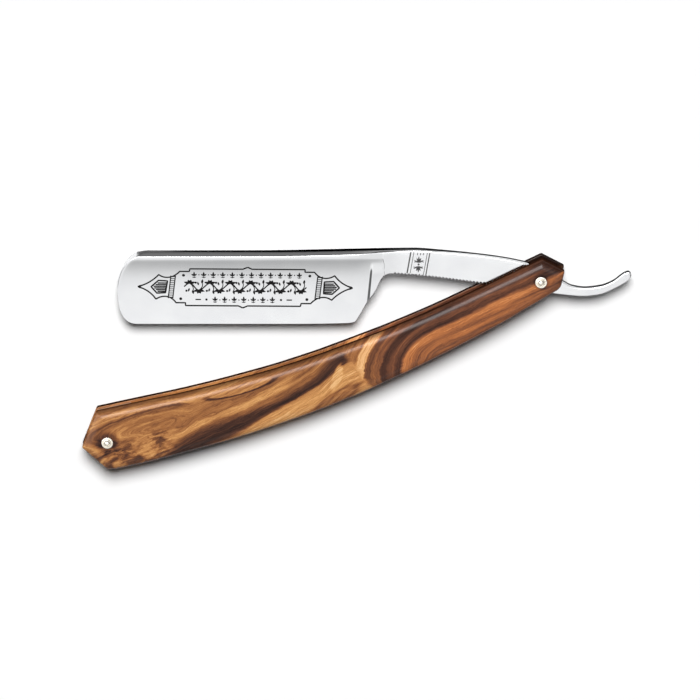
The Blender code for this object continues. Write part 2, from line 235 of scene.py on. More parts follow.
class Graph:
    """Builds a node tree: short names for the nodes that the materials use."""

    def __init__(self, tree):
        self.tree = tree

    def node(self, kind, **settings):
        made = self.tree.nodes.new(kind)
        for key, value in settings.items():
            setattr(made, key, value)
        return made

    def put(self, socket, value):
        if isinstance(value, Field):
            value = value.socket
        if isinstance(value, bpy.types.NodeSocket):
            self.tree.links.new(value, socket)
        else:
            socket.default_value = value

    def math(self, operation, *values):
        made = self.node("ShaderNodeMath", operation=operation)
        for socket, value in zip(made.inputs, values):
            self.put(socket, value)
        return Field(self, made.outputs[0])

    def object_position(self):
        """The point in millimetres from the pivot, as three fields."""
        place = self.node("ShaderNodeTexCoord").outputs["Object"]
        parts = self.node("ShaderNodeSeparateXYZ")
        self.put(parts.inputs[0], place)
        return [(Field(self, out) - p) * (1 / MM) for out, p in zip(parts.outputs, PIVOT)]

    def facing(self):
        """The way the surface faces, along the object's axes, as three fields."""
        parts = self.node("ShaderNodeSeparateXYZ")
        self.put(parts.inputs[0], self.node("ShaderNodeTexCoord").outputs["Normal"])
        return [Field(self, out) for out in parts.outputs]

    def vector(self, *values):
        made = self.node("ShaderNodeCombineXYZ")
        for socket, value in zip(made.inputs, values):
            self.put(socket, value)
        return made.outputs[0]

    def noise(self, vector, detail=2.0, rough=0.5, twist=0.0):
        made = self.node("ShaderNodeTexNoise")
        self.put(made.inputs["Vector"], vector)
        self.put(made.inputs["Scale"], 1.0)
        self.put(made.inputs["Detail"], detail)
        self.put(made.inputs["Roughness"], rough)
        self.put(made.inputs["Distortion"], twist)
        return Field(self, made.outputs[0])

    def step(self, value, low, high, start=0.0, end=1.0):
        """A smooth step of value, from start at low to end at high."""
        made = self.node("ShaderNodeMapRange", interpolation_type="SMOOTHSTEP")
        for name, number in (("Value", value), ("From Min", low), ("From Max", high)):
            self.put(made.inputs[name], number)
        self.put(made.inputs["To Min"], start)
        self.put(made.inputs["To Max"], end)
        return Field(self, made.outputs[0])

    def profile(self, value, points, ease="B_SPLINE"):
        """A soft curve of value through (value, result) points, results from 0 to 1."""
        low, high = points[0][0], points[-1][0]
        made = self.node("ShaderNodeValToRGB")
        made.color_ramp.interpolation = ease
        elements = made.color_ramp.elements
        while len(elements) < len(points):
            elements.new(0.5)
        for element, (at, result) in zip(elements, points):
            element.position = (at - low) / (high - low)
            element.color = (result, result, result, 1.0)
        self.put(made.inputs[0], (value - low) * (1 / (high - low)))
        return Field(self, made.outputs[0])

    def colors(self, value, stops):
        """A colour that runs through (value, colour) stops."""
        made = self.node("ShaderNodeValToRGB")
        made.color_ramp.interpolation = "LINEAR"
        elements = made.color_ramp.elements
        while len(elements) < len(stops):
            elements.new(0.5)
        for element, (at, color) in zip(elements, stops):
            element.position = at
            element.color = (*[linear(c) for c in color], 1.0)
        self.put(made.inputs[0], value)
        return made.outputs[0]

    def mixed(self, share, first, second):
        made = self.node("ShaderNodeMix", data_type="RGBA")
        self.put(made.inputs["Factor"], share)
        self.put(made.inputs[6], first)
        self.put(made.inputs[7], second)
        return made.outputs[2]

    def choose(self, share, first, second):
        """The first field where share is 0 and the second where it is 1."""
        return first + (second - first) * share

    def oval(self, u, v, centre, radii, degrees):
        """Distance from an oval's centre, 1 on its line."""
        c, s = math.cos(math.radians(degrees)), math.sin(math.radians(degrees))
        du, dv = u - centre[0], v - centre[1]
        along = (du * c + dv * s) / radii[0]
        across = (dv * c - du * s) / radii[1]
        return (along * along + across * across).root()

    def bump(self, height, strength, distance):
        made = self.node("ShaderNodeBump")
        self.put(made.inputs["Height"], height)
        made.inputs["Strength"].default_value = strength
        made.inputs["Distance"].default_value = distance
        return made.outputs[0]


def linear(value):
    """A colour value from 0 to 255 as linear light."""
    value /= 255
    return value / 12.92 if value <= 0.04045 else ((value + 0.055) / 1.055) ** 2.4


def rgb(*values):
    return (*[linear(v) for v in values], 1.0)


def new_material(name):
    material = bpy.data.materials.new(name)
    material.use_nodes = True
    graph = Graph(material.node_tree)
    return material, graph, material.node_tree.nodes["Principled BSDF"]


# The wood's colours, from its darkest tone to its palest
OLIVE = (
    (0.0, (44, 27, 22)), (0.16, (78, 48, 36)), (0.36, (122, 76, 47)), (0.55, (162, 106, 62)),
    (0.75, (196, 138, 82)), (0.9, (218, 162, 100)), (1.0, (236, 188, 132)),
)
RUSSET = (
    (0.0, (40, 23, 17)), (0.16, (76, 46, 35)), (0.36, (116, 71, 49)), (0.55, (156, 95, 58)),
    (0.75, (190, 117, 67)), (0.9, (216, 145, 89)), (1.0, (238, 180, 126)),
)
# Figures in the wood, in the handle's millimetres: an oval is its centre, its radii and its turn
DARK_VEIN = (
    (-128.0, -12.0), (-118.0, -10.4), (-110.0, -9.8), (-104.0, -9.6), (-99.0, -9.3), (-95.0, -8.6),
    (-90.0, -8.1), (-85.0, -7.2), (-80.0, -6.3), (-75.0, -5.2), (-72.0, -3.7), (-69.0, -2.4),
    (-65.0, -1.5), (-60.0, -1.0),
)
ARCHES = ((-128.0, 0.1), (19.0, 4.2), -6)
LONG_EYE = ((-98.2, 1.75), (10.8, 1.95), -4)
PALE_LEAF = ((-69.2, -6.4), (4.4, 1.5), 50)
SWIRL = ((-71.5, -12.6), (9.5, 2.3), 11)
KNOT = (-34.4, -15.0)
KNOT_STRETCH = 1.35  # its arcs are this much longer along the handle than circles
# Colours of the painted shade on the edges of the front and the back scale
EDGE_SHADE_COLOURS = {1: (46, 25, 15), -1: (28, 16, 11)}  # of the front and the back scale


def left_figure(g, u, v, seed):
    """Arches over the wedge pin's end, mottled below: tone, and distance across the grain."""
    lens = g.oval(u, v, *ARCHES)
    arches = g.profile(lens, (
        (0.0, 0.52), (0.2, 0.6), (0.38, 0.46), (0.55, 0.66), (0.78, 0.62), (0.88, 0.3), (0.96, 0.5),
        (1.03, 0.22), (1.12, 0.42), (1.22, 0.74), (1.5, 0.72), (1.75, 0.45), (2.1, 0.6), (3.0, 0.5),
    ))
    mottle = g.noise(g.vector(u * 0.2, v * 0.36, seed * 3), detail=4.0, rough=0.62, twist=0.5)
    mottled = g.step(mottle, 0.34, 0.66, 0.2, 0.76)
    low = g.step(v, -1.4, -3.6) * g.step(u, -114.0, -124.0)
    flow = g.choose(g.step(lens, 0.25, 0.85), v, lens * 4.2)
    return g.choose(low, arches, mottled), g.choose(low, flow + 8.0, v * 0.8 + 9.8)


def middle_figure(g, u, v):
    """Bands that climb to the right above and below one dark vein."""
    vein = g.profile(u, [(a, (b + 13) / 13) for a, b in DARK_VEIN]) * 13.0 - 13.0
    above = v - vein
    bands = g.profile(above, (
        (-7.0, 0.8), (-4.0, 0.84), (-2.4, 0.8), (0.0, 0.5), (1.8, 0.5), (2.7, 0.42), (3.5, 0.74),
        (4.7, 0.9), (5.6, 0.72), (6.4, 0.36), (7.1, 0.6), (7.9, 0.34), (8.8, 0.66), (10.0, 0.45),
        (12.0, 0.7),
    ))
    browner = g.step(u, -88.0, -78.0) * g.step(above, 0.5, 2.0)
    bands = g.choose(browner, bands, 0.5)
    width = 3.2 * g.profile(u, (
        (-128.0, 0.9), (-112.0, 0.95), (-103.0, 0.9), (-97.0, 0.5), (-92.0, 0.36), (-80.0, 0.32),
        (-74.0, 0.42), (-69.0, 0.62), (-60.0, 0.4),
    ))
    darkness = g.profile((above / width).max(-2.0).min(2.0), (
        (-2.0, 0.0), (-1.25, 0.05), (-0.85, 0.75), (-0.4, 1.0), (0.3, 0.98), (0.75, 0.72), (1.1, 0.35),
        (1.6, 0.08), (2.0, 0.0),
    ), "LINEAR")
    return g.choose(darkness, bands, 0.06), above


def right_figure(g, u, v):
    """A pale bar, then arcs of a knot that flatten out towards the pivot."""
    from_knot = u - KNOT[0]
    bend = from_knot.min(0.0) / KNOT_STRETCH
    up = v - KNOT[1]
    arc = (bend * bend + up * up).root() - from_knot.max(0.0) * 0.085
    tone = g.profile(arc, (
        (3.0, 0.5), (6.0, 0.44), (8.0, 0.6), (9.2, 0.48), (10.4, 0.7), (11.5, 0.78), (12.1, 0.46),
        (12.7, 0.12), (13.4, 0.16), (14.1, 0.36), (14.9, 0.28), (15.7, 0.06), (16.5, 0.12),
        (17.2, 0.4), (17.9, 0.34), (18.6, 0.52), (19.3, 0.3), (20.1, 0.26), (20.5, 0.4), (20.8, 0.98),
        (22.6, 0.96), (23.6, 0.55), (26.0, 0.5),
    ), "LINEAR")
    return tone.max(g.step(u, -42.0, -18.0, 0.0, 0.24)), arc


def add_spots(g, tone, u, v, u0, v0, ragged):
    """A long eye under the shoulder, and a pale leaf and dark swirls below the vein's head."""
    eye = g.oval(u0 + ragged * 1.5, v0 + ragged * 0.5, *LONG_EYE)
    rim = g.step(eye, 1.22, 1.06) * g.step(eye, 0.84, 0.97)
    tone = g.choose(rim * g.step(v0 + u0 * 0.07, -4.4, -6.2), tone, 0.12)
    tone = g.choose(g.step(eye, 1.0, 0.82), tone, 0.66)
    leaf = g.oval(u, v, *PALE_LEAF)
    tone = g.choose(g.step(leaf, 1.15, 0.8), tone, 0.98)
    swirl = g.oval(u, v, *SWIRL)
    return g.choose(g.step(swirl, 1.25, 0.7), tone, g.profile(swirl, (
        (0.0, 0.6), (0.35, 0.4), (0.55, 0.66), (0.75, 0.3), (0.95, 0.62), (1.25, 0.5),
    )))


def darken_ends(g, tone, u, v):
    """Darker round the pins and at the right end."""
    at_pivot = (u * u + v * v).root()
    du = u + PIN_SPAN
    at_wedge = (du * du + v * v).root()
    tone = tone - g.step(at_wedge, 4.4, 2.0) * 0.36 - g.step(at_pivot, 2.8, 1.7) * 0.2
    tone = tone - g.step(u, -6.0, 7.0) * 0.2
    return tone.max(0.0).min(1.0)


def painted_edge_shade(g, side, u, z, facing_x, facing_y):
    """How much painted shade darkens the edges: most of all beside the slot and at the right end."""
    from_slot = z.abs() - (u * ((SLOT_HALF - WEDGE_HALF) / PIN_SPAN) + SLOT_HALF)
    # Painted shade on the sides facing +y: near full on the back scale, and on the front scale deepest
    # beside the slot, paler over the shoulder and towards the left end
    shade_depth = 0.96
    if side > 0:
        shade_depth = g.profile(from_slot, (
            (-0.1, 1.0), (0.9, 0.97), (1.3, 0.85), (1.9, 0.6), (4.0, 0.55),
        ), "LINEAR")
        shade_depth = shade_depth * g.step(u, -140.0, -60.0, 0.95, 1.15)
    # Painted shade on the sides facing +y, on the sides facing -y, on the facets facing the end, and on
    # the faces next to the slot at the pivot
    above = g.step(facing_y, 0.15, 0.75) * shade_depth
    below = g.step(facing_y, -0.25, -0.8) * 0.35
    at_end = g.step(facing_x, 0.4, 0.85) * 0.6
    in_slot = g.step(from_slot, 0.12, 0.04) * g.step(u, -4.0, 3.0) * 0.9
    return (above + below + at_end + in_slot).min(1.0)


def figured_wood(name, side):
    """Varnished wood with a dark vein, an eye, a pale bar and the arcs of a knot."""
    material, g, shader = new_material(name)
    x, y, z = g.object_position()
    c, s = math.cos(OPEN_ANGLE), math.sin(OPEN_ANGLE)
    u = x * c + y * s
    v = y * c - x * s
    depth = z * side
    seed = 3.0
    if side < 0:
        seed = 41.0
        u = u + 7.0
        v = v * 0.92 + 0.6
    slow = g.noise(g.vector(u * 0.055, v * 0.16, depth * 0.12 + seed), detail=1.5) - 0.5
    ragged = g.noise(g.vector(u * 0.22, v * 0.75, depth * 0.3 + seed * 2), detail=5.0, rough=0.6) - 0.5
    u0, v0 = u, v
    v = v + slow * 1.6 + ragged * 1.7 - depth * 0.12
    u = u + ragged * 3.5

    left_tone, left_flow = left_figure(g, u, v, seed)
    middle_tone, middle_flow = middle_figure(g, u, v)
    right_tone, right_flow = right_figure(g, u, v)
    to_middle = g.step(u - v * 0.9, -122.0, -112.0)
    to_right = g.step(u + (v + 6.0) * 0.35, -63.6, -61.6)
    tone = g.choose(to_middle, left_tone, middle_tone)
    flow = g.choose(to_middle, left_flow, middle_flow)
    tone = add_spots(g, tone, u, v, u0, v0, ragged)
    tone = g.choose(to_right, tone, right_tone)
    flow = g.choose(to_right, flow, right_flow)

    # Streaks, fibres and pores that follow the figure
    streak = g.noise(g.vector(u * 0.05, flow, seed), detail=5.0, rough=0.7)
    fine = g.noise(g.vector(u * 0.16, flow * 3.6, depth * 0.6 + seed), detail=4.0, rough=0.7)
    pores = g.noise(g.vector(u * 0.8, flow * 9.0, depth * 2.0 + seed), detail=2.0, rough=0.6)
    grain = (streak - 0.5) * 1.15 + (fine - 0.5) * 0.85 - g.step(pores, 0.55, 0.7) * 0.19
    tone = darken_ends(g, tone + grain * (tone * 0.6 + 0.5), u0, v0)
    redder = g.step(u0, -66.0, -50.0)
    color = g.mixed(redder, g.colors(tone, OLIVE), g.colors(tone, RUSSET))

    facing_x, facing_y, facing_z = g.facing()
    # Painted shade: the edges are darkened towards their shade colour
    edge_shade_share = painted_edge_shade(g, side, u0, z, facing_x, facing_y)
    g.put(shader.inputs["Base Color"], g.mixed(edge_shade_share, color, rgb(*EDGE_SHADE_COLOURS[side])))
    # The varnish is rubbed thinner on the flat top than on the rounded edges
    rubbed = 1.0 - g.step(facing_z.abs(), 0.986, 0.998) * 0.6
    g.put(shader.inputs["Coat Weight"], g.step(facing_z.abs(), 0.3, 0.7) * rubbed)
    g.put(shader.inputs["Roughness"], g.step(fine, 0.3, 0.7, 0.2, 0.32))
    shader.inputs["Specular IOR Level"].default_value = 0.0
    shader.inputs["Coat IOR"].default_value = 1.36
    shader.inputs["Coat Roughness"].default_value = 0.16
    g.put(shader.inputs["Normal"], g.bump(fine + pores * 0.5, 0.05, 0.0002))
    return material


def wedge_wood():
    """Plain light wood with fine lines along the handle."""
    material, g, shader = new_material("wedge_wood")
    x, y, z = g.object_position()
    lines = g.noise(g.vector(x * 0.12 + y * 0.05, y * 1.1, z * 1.6), detail=3.0, twist=0.4)
    tone = g.step(lines, 0.3, 0.7, 0.3, 0.78)
    g.put(shader.inputs["Base Color"], g.colors(tone, OLIVE))
    shader.inputs["Roughness"].default_value = 0.38
    return material


def steel():
    """Mirror polish, with a painted dark reflection on the spine's back and a painted grey reflection on
    its bevel.
    """
    material, g, shader = new_material("polished_steel")
    x, y, z = g.object_position()
    facing_x, facing_y, facing_z = g.facing()
    # How high up from its middle the back is painted black as a dark reflection, along the blade
    painted_black_height = g.profile(x, (
        (-130.0, 0.0), (-110.0, 0.1), (-90.0, 0.35), (-67.0, 1.0), (-49.0, 1.0), (-34.0, 0.7),
        (-19.0, 0.1), (0.0, 0.1), (15.0, 0.7), (28.0, 0.8),
    ), "LINEAR")
    # Painted dark reflection on the spine's back, which faces +y, except at the nose's end
    not_nose = 1.0 - g.step(x, -116.0, -118.0) * g.step(facing_x, -0.25, -0.4)
    back_reflection_paint = g.step(facing_y, 0.12, 0.3) * g.step(facing_z.abs(), 0.5, 0.3) * not_nose
    back_reflection_paint = back_reflection_paint * g.step(z - painted_black_height, 0.08, -0.08)
    bevel_reflection_paint = g.step(facing_y, 0.45, 0.7) * g.step(x, -26.0, -36.0) * not_nose
    cloud = g.noise(g.vector(x * 0.12, y * 0.12, z * 0.1), detail=3.0)
    hair = g.noise(g.vector(x * 0.25, y * 9.0, z * 9.0), detail=2.0)
    bright = g.colors(cloud, ((0.3, (226, 227, 229)), (0.7, (233, 234, 235))))
    # Painted grey reflection on the bevel, darker towards the nose
    bevel = g.mixed(g.step(x, -62.0, -36.0), rgb(112, 112, 113), rgb(195, 195, 196))
    # Colour and edge tint of the painted dark reflection on the back, paler near the nose and the tail
    from_nose = (x + 120.0) * (1 / 80.0)
    back = g.colors(from_nose, (
        (0.04, (96, 96, 97)), (0.25, (26, 26, 27)), (0.75, (26, 26, 27)), (0.95, (60, 60, 61)),
    ))
    rim = g.colors(from_nose, (
        (0.04, (184, 184, 184)), (0.25, (0, 0, 0)), (0.75, (0, 0, 0)), (0.95, (150, 150, 150)),
    ))
    # Edge tint: white, and grey on the bevel as part of its painted grey reflection
    edge = g.mixed(bevel_reflection_paint, rgb(255, 255, 255), rgb(170, 170, 170))
    g.put(shader.inputs["Base Color"], g.mixed(back_reflection_paint, g.mixed(bevel_reflection_paint, bright, bevel), back))
    g.put(shader.inputs["Specular Tint"], g.mixed(back_reflection_paint, edge, rim))
    shader.inputs["Metallic"].default_value = 1.0
    g.put(shader.inputs["Roughness"], g.step(hair, 0.3, 0.7, 0.09, 0.15))
    return material


def nickel_silver():
    """Warm white metal, slightly uneven from hammering and turning."""
    material, g, shader = new_material("nickel_silver")
    x, y, z = g.object_position()
    spots = g.noise(g.vector(x * 1.2, y * 1.2, z * 1.2), detail=2.0)
    color = g.colors(spots, ((0.3, (232, 226, 212)), (0.7, (242, 237, 225))))
    g.put(shader.inputs["Base Color"], color)
    shader.inputs["Metallic"].default_value = 1.0
    g.put(shader.inputs["Roughness"], g.step(spots, 0.3, 0.7, 0.16, 0.3))
    g.put(shader.inputs["Normal"], g.bump(spots, 0.05, 0.0001))
    return material


def bronze():
    material, g, shader = new_material("washer_bronze")
    x, y, z = g.object_position()
    spots = g.noise(g.vector(x * 1.5, y * 1.5, z * 1.5), detail=3.0)
    color = g.colors(spots, ((0.3, (176, 140, 88)), (0.7, (206, 170, 112))))
    g.put(shader.inputs["Base Color"], color)
    shader.inputs["Metallic"].default_value = 1.0
    shader.inputs["Roughness"].default_value = 0.35
    return material


def etched(name, dark, pale):
    """The dull gritty grey of etched steel, between two values from 0 to 255."""
    material, g, shader = new_material(name)
    x, y, z = g.object_position()
    grit = g.noise(g.vector(x * 4.0, y * 4.0, z * 4.0), detail=2.0)
    color = g.colors(grit, ((0.3, (dark, dark, dark)), (0.75, (pale, pale, pale))))
    g.put(shader.inputs["Base Color"], color)
    shader.inputs["Roughness"].default_value = 0.7
    shader.inputs["Specular IOR Level"].default_value = 0.1
    return material


# ---------------------------------------------------------------- blade


def on_tang(x):
    """0 on the blade and 1 on the tang, with a soft change between them."""
    return blend((x + 58.0) / 18.0)


def notch(x):
    """How far the thumb notches cut up into the tang's lower edge at x."""
    nearest = round((x - JIMP_START_X) / JIMP_PITCH)
    if not 0 <= nearest < JIMP_COUNT:
        return 0.0
    off = x - JIMP_START_X - nearest * JIMP_PITCH
    return math.sqrt(max(0.0, JIMP_RADIUS**2 - off * off))


def grind(x, y):
    """Half the blade's thickness, with the grind's creases left sharp."""
    full = spine_half(x)
    top = flank_end(x)
    if y >= top:
        return full
    depth = min(1.0, (top - y) / (top - EDGE_Y))
    hollow = EDGE_HALF + (full - EDGE_HALF) * (1 - depth) ** HOLLOW_POWER
    ridge_x = RIDGE_TOP.x - RIDGE_LEAN * (RIDGE_TOP.y - y)
    rise = RIDGE_RISE * blend((RIDGE_TOP.y - y) / RIDGE_FADE) * blend((x - ridge_x) / RIDGE_WIDTH + 0.5)
    return min(full, hollow + rise + PLATEAU_SLOPE * max(0.0, x - PLATEAU_END))


def half_thickness(x, y):
    """The same with its creases eased."""
    reach = CREASE_SOFT * blend((y - EDGE_Y) / 4.0)
    return sum(grind(x, y + reach * k / 2) for k in (-2, -1, 0, 1, 2)) / 5


def nose_x(y):
    """Where the rounded nose ends at y: its curve is squarer below its middle than above."""
    middle, half = (SPINE_Y + EDGE_Y) / 2, (SPINE_Y - EDGE_Y) / 2
    centre, reach, power = NOSE_TOP if y > middle else NOSE_LOW
    off_middle = min(1.0, abs(y - middle) / half)
    return centre - reach * (1 - off_middle**power) ** (1 / power)


def corner(before, at, after, radius, steps=3):
    """Points of a small curve that rounds off a corner."""
    start = at + (before - at).normalized() * min(radius, 0.45 * (before - at).length)
    end = at + (after - at).normalized() * min(radius, 0.45 * (after - at).length)
    points = []
    for i in range(steps + 1):
        t = i / steps
        points.append(start * (1 - t) ** 2 + at * 2 * t * (1 - t) + end * t * t)
    return points


def section(x, hollow_rows=30):
    """(y, z) points of the show side at x, from the back's middle to the edge's middle."""
    tang = on_tang(x)
    top, low, full = top_edge(x), lower_edge(x) + notch(x), spine_half(x)
    bevel = mix(chamfer_drop(x), min(TANG_BEVEL[0], 0.22 * (top - low)), tang)
    back = mix(back_half(x), full - TANG_BEVEL[1], tang)
    soft = mix(0.12, 0.06, tang)
    crease = mix(flank_end(x), top - 0.3 * (top - low), tang)
    a, b = Vector((top, 0.0)), Vector((top, back))
    c, d = Vector((top - bevel, full)), Vector((crease, full))
    points = [a] + corner(a, b, c, soft) + corner(b, c, d, soft)
    round_low = mix(0.02, TANG_ROUND, tang)
    end = low + round_low
    for i in range(hollow_rows + 1):
        y = mix(crease + CREASE_SOFT * (1 - tang), end, 0.5 - 0.5 * math.cos(math.pi * i / hollow_rows))
        points.append(Vector((y, half_thickness(x, y))))
    last = points[-1].y
    inner = last - min(0.8 * last, round_low)
    points += corner(points[-1], Vector((low, last)), Vector((low, inner)), round_low, 2)
    return points + [Vector((low, 0.0))]


def blade_stations():
    """(x, share of the nose's curve, distance in from the nose's edge) of each section."""
    near_edge = (0, 0.03, 0.08, 0.15, 0.25, 0.4, 0.6, 0.85)
    stations = [(NOSE_ZONE_END, 1 - d / NOSE_ZONE, d) for d in near_edge]
    stations += [(NOSE_ZONE_END, 0.93 * (1 - i / 20), 1.0) for i in range(1, 20)]
    runs = ((-60.0, 40), (-54.5, 30), (-44.95, 130), (-9.5, 405), (24.0, 70), (27.0, 24), (27.8, 16))
    start = NOSE_ZONE_END
    for end, steps in runs:
        stations += [(mix(start, end, i / steps), 0.0, 1.0) for i in range(steps)]
        start = end
    return stations + [(start, 0.0, 1.0)]


def end_round(distance, x, y):
    """How much thinner the blade is near the nose's edge and the tail's end."""
    soft = 0.16 * max(0.0, 1 - distance / 0.85) ** 2
    tight = 0.15 * max(0.0, 1 - distance / 0.15) ** 2
    tail = TAIL_ROUND * max(0.0, 1 - (TOP_EDGE[-1][0] - x) / 0.6) ** 2
    return (soft + tight) * blend((y + 4.0) / 4.0) + tail


def make_blade(material):
    bm = bmesh.new()
    rings = []
    for x, nose, distance in blade_stations():
        front = []
        for p in section(x):
            y, z = p.x, p.y
            thinner = min(0.7 * z, end_round(distance, x, y))
            front.append(Vector((mix(x, nose_x(y), nose), y, z - thinner)))
        back = [Vector((p.x, p.y, -p.z)) for p in reversed(front[1:-1])]
        rings.append([bm.verts.new(from_blade(*p)) for p in front + back])
    count = len(rings[0])
    for ring, after in zip(rings, rings[1:]):
        for i in range(count):
            j = (i + 1) % count
            bm.faces.new((ring[i], ring[j], after[j], after[i]))
    half = count // 2
    for ring in (rings[0], rings[-1]):
        bm.faces.new((ring[0], ring[1], ring[-1]))
        for i in range(1, half - 1):
            bm.faces.new((ring[i], ring[i + 1], ring[count - i - 1], ring[count - i]))
        bm.faces.new((ring[half - 1], ring[half], ring[half + 1]))
    bmesh.ops.recalc_face_normals(bm, faces=bm.faces)
    blade = mesh_object("hollow_ground_blade", bm, material, 35)
    hole = bmesh.new()
    radius = (PIN_RADIUS + PIN_CLEARANCE) * MM
    bmesh.ops.create_cone(
        hole, cap_ends=True, segments=48, radius1=radius, radius2=radius, depth=20 * MM,
        matrix=Matrix.Translation(PIVOT),
    )
    cutter = mesh_object("hole_cutter", hole, material)
    cut = blade.modifiers.new("hole", "BOOLEAN")
    cut.operation = "DIFFERENCE"
    cut.solver = "MANIFOLD"
    cut.object = cutter
    graph = bpy.context.evaluated_depsgraph_get()
    finished = bpy.data.meshes.new_from_object(blade.evaluated_get(graph))
    blade.modifiers.clear()
    blade.data = finished
    bpy.data.objects.remove(cutter)
    return blade


# ---------------------------------------------------------------- etched lines

LIFT = 0.015  # the etched lines stand this far above the steel


class Etching:
    """Flat dark lines and dots that lie on the show side of the blade."""

    def __init__(self):
        self.bm = bmesh.new()

    def point(self, x, y):
        return self.bm.verts.new(from_blade(x, y, half_thickness(x, y) + LIFT))

    def line(self, points, width, closed=False):
        """A ribbon along points. A width may be a pair, for its two ends."""
        first, last = width if isinstance(width, tuple) else (width, width)
        points = dense(points, closed)
        count = len(points)
        pairs = []
        for i, p in enumerate(points):
            before = points[i - 1] if i or closed else p
            after = points[(i + 1) % count] if i < count - 1 or closed else p
            along = (after - before).normalized()
            half = mix(first, last, i / max(1, count - 1)) / 2
            across = Vector((-along.y, along.x)) * half
            pairs.append((self.point(*(p + across)), self.point(*(p - across))))
        ends = pairs[1:] + pairs[:1] if closed else pairs[1:]
        for (a, b), (c, d) in zip(pairs, ends):
            self.bm.faces.new((a, b, d, c))

    def fill(self, points):
        """A filled outline that is seen whole from its middle."""
        middle = sum(points, Vector((0, 0))) / len(points)
        hub = self.point(*middle)
        rim = [self.point(*p) for p in points]
        for a, b in zip(rim, rim[1:] + rim[:1]):
            self.bm.faces.new((hub, a, b))

    def dot(self, x, y, radius, steps=16):
        turns = [2 * math.pi * i / steps for i in range(steps)]
        self.fill([Vector((x + math.cos(t) * radius, y + math.sin(t) * radius)) for t in turns])

    def leaf(self, x, y, length, width, degrees):
        """A pointed leaf that starts at x, y."""
        a = math.radians(degrees)
        along, across = Vector((math.cos(a), math.sin(a))), Vector((-math.sin(a), math.cos(a)))
        outline = []
        for i in range(16):
            t = i / 8 if i <= 8 else (16 - i) / 8
            side = 1 if i <= 8 else -1
            bulge = math.sin(math.pi * t) * (1.2 - 0.5 * t)
            outline.append(Vector((x, y)) + along * length * t + across * side * width / 2 * bulge)
        self.fill(outline)

    def finish(self, name, material):
        for face in self.bm.faces:
            face.normal_update()
            if face.normal.z < 0:
                face.normal_flip()
        return mesh_object(name, self.bm, material)


def dense(points, closed=False, pitch=0.35):
    """The same path with more points, so that it follows the hollow."""
    points = [Vector(p) for p in points]
    ends = points[1:] + points[:1] if closed else points[1:]
    path = []
    for a, b in zip(points, ends):
        steps = max(1, math.ceil((b - a).length / pitch))
        path += [a.lerp(b, i / steps) for i in range(steps)]
    return path if closed else path + [points[-1]]


def bow(a, b, rise, steps=10):
    """A shallow curve from a to b that rises to its left."""
    a, b = Vector(a), Vector(b)
    across = Vector((a.y - b.y, b.x - a.x)).normalized()
    points = []
    for i in range(steps + 1):
        t = i / steps
        points.append(a.lerp(b, t) + across * rise * 4 * t * (1 - t))
    return points


PANEL_LEFT = -123.5
PANEL_RIGHT = -57.6
PANEL_Y = -2.85
PANEL_LEAN = 0.12
PANEL_TURN = 0.0075
PANEL_END = 14.2  # from a tip to where the vine starts
FRAME_UP = 6.1  # from the panel's middle line to its long sides
FRAME_PEAK = 6.75  # and to the small peak halfway along them
FRAME_LINE = 0.46
VINE_WAVES = 6
VINE_SWING = 1.15
VINE_Y = 0.1
SPRIG_PITCH = 1 / 12.8  # as a share of the vine's length
LADDER = (9.75, 11.15)  # its two rails, in from a tip


def on_panel(tip, way, inwards, up):
    """A point of the panel, from an end's tip. The panel leans and turns a little."""
    x = tip + way * inwards + PANEL_LEAN * up
    return Vector((x, PANEL_Y + up - PANEL_TURN * (x - (PANEL_LEFT + PANEL_RIGHT) / 2)))


def panel_half():
    """One end of the panel's outline above its middle line, as (in from its tip, up)."""
    path = bow((0.0, 0.0), (6.0, 4.05), -0.6)
    path += bow((6.0, 4.05), (10.3, 3.5), -0.6)
    path += bow((10.3, 3.5), (12.3, 5.2), -0.15)
    return path + [Vector((15.2, 5.2)), Vector((15.35, FRAME_UP))]


def sprig(etch, x, y):
    """Three leaves on a short stem with two twigs at its foot."""
    etch.leaf(x, y - 0.25, 1.35, 0.62, 90)
    for turn in (38, 142):
        etch.leaf(x, y - 0.35, 1.15, 0.5, turn)
    etch.line([(x, y - 0.95), (x, y - 0.2)], 0.26)
    for side in (-1, 1):
        etch.line([(x, y - 0.9), (x + side * 0.62, y - 0.72)], (0.3, 0.18))


def panel_end(etch, tip, way):
    """One end of the panel: its half of the frame, with a hatched gem and a ladder in it."""
    half_length = (PANEL_RIGHT - PANEL_LEFT) / 2

    def at(inwards, up):
        return on_panel(tip, way, inwards, up)

    for up in (1, -1):
        outline = [at(p.x, up * p.y) for p in panel_half()]
        rest = [at(half_length - 1.4, up * FRAME_UP), at(half_length, up * FRAME_PEAK)]
        etch.line(outline + rest, FRAME_LINE)
        etch.line([at(0.4, up * 0.1), at(2.6, up * 1.0)], (0.7, 0.1))
        etch.dot(*at(13.6, up * 3.9), 0.46)
    gem = ((4.1, 0.0), (6.1, 2.1), (8.9, 1.95), (8.7, -1.95), (6.1, -2.1))
    etch.line([at(*p) for p in gem], 0.5, closed=True)
    for row in (-1.5, -0.95, -0.4, 0.15, 0.7, 1.25):
        etch.line([at(4.7 + abs(row), row), at(8.8, row)], 0.44)
    for inwards in LADDER:
        etch.line([at(inwards, -3.75), at(inwards, 3.75)], 0.36)
    for i in range(11):
        up = -3.4 + i * 0.68
        etch.line([at(inwards, up) for inwards in LADDER], 0.26)


def along(t, up):
    """A point of the panel between its two ends, for t from 0 to 1."""
    return on_panel(mix(PANEL_LEFT + PANEL_END, PANEL_RIGHT - PANEL_END, t), 1, 0, up)


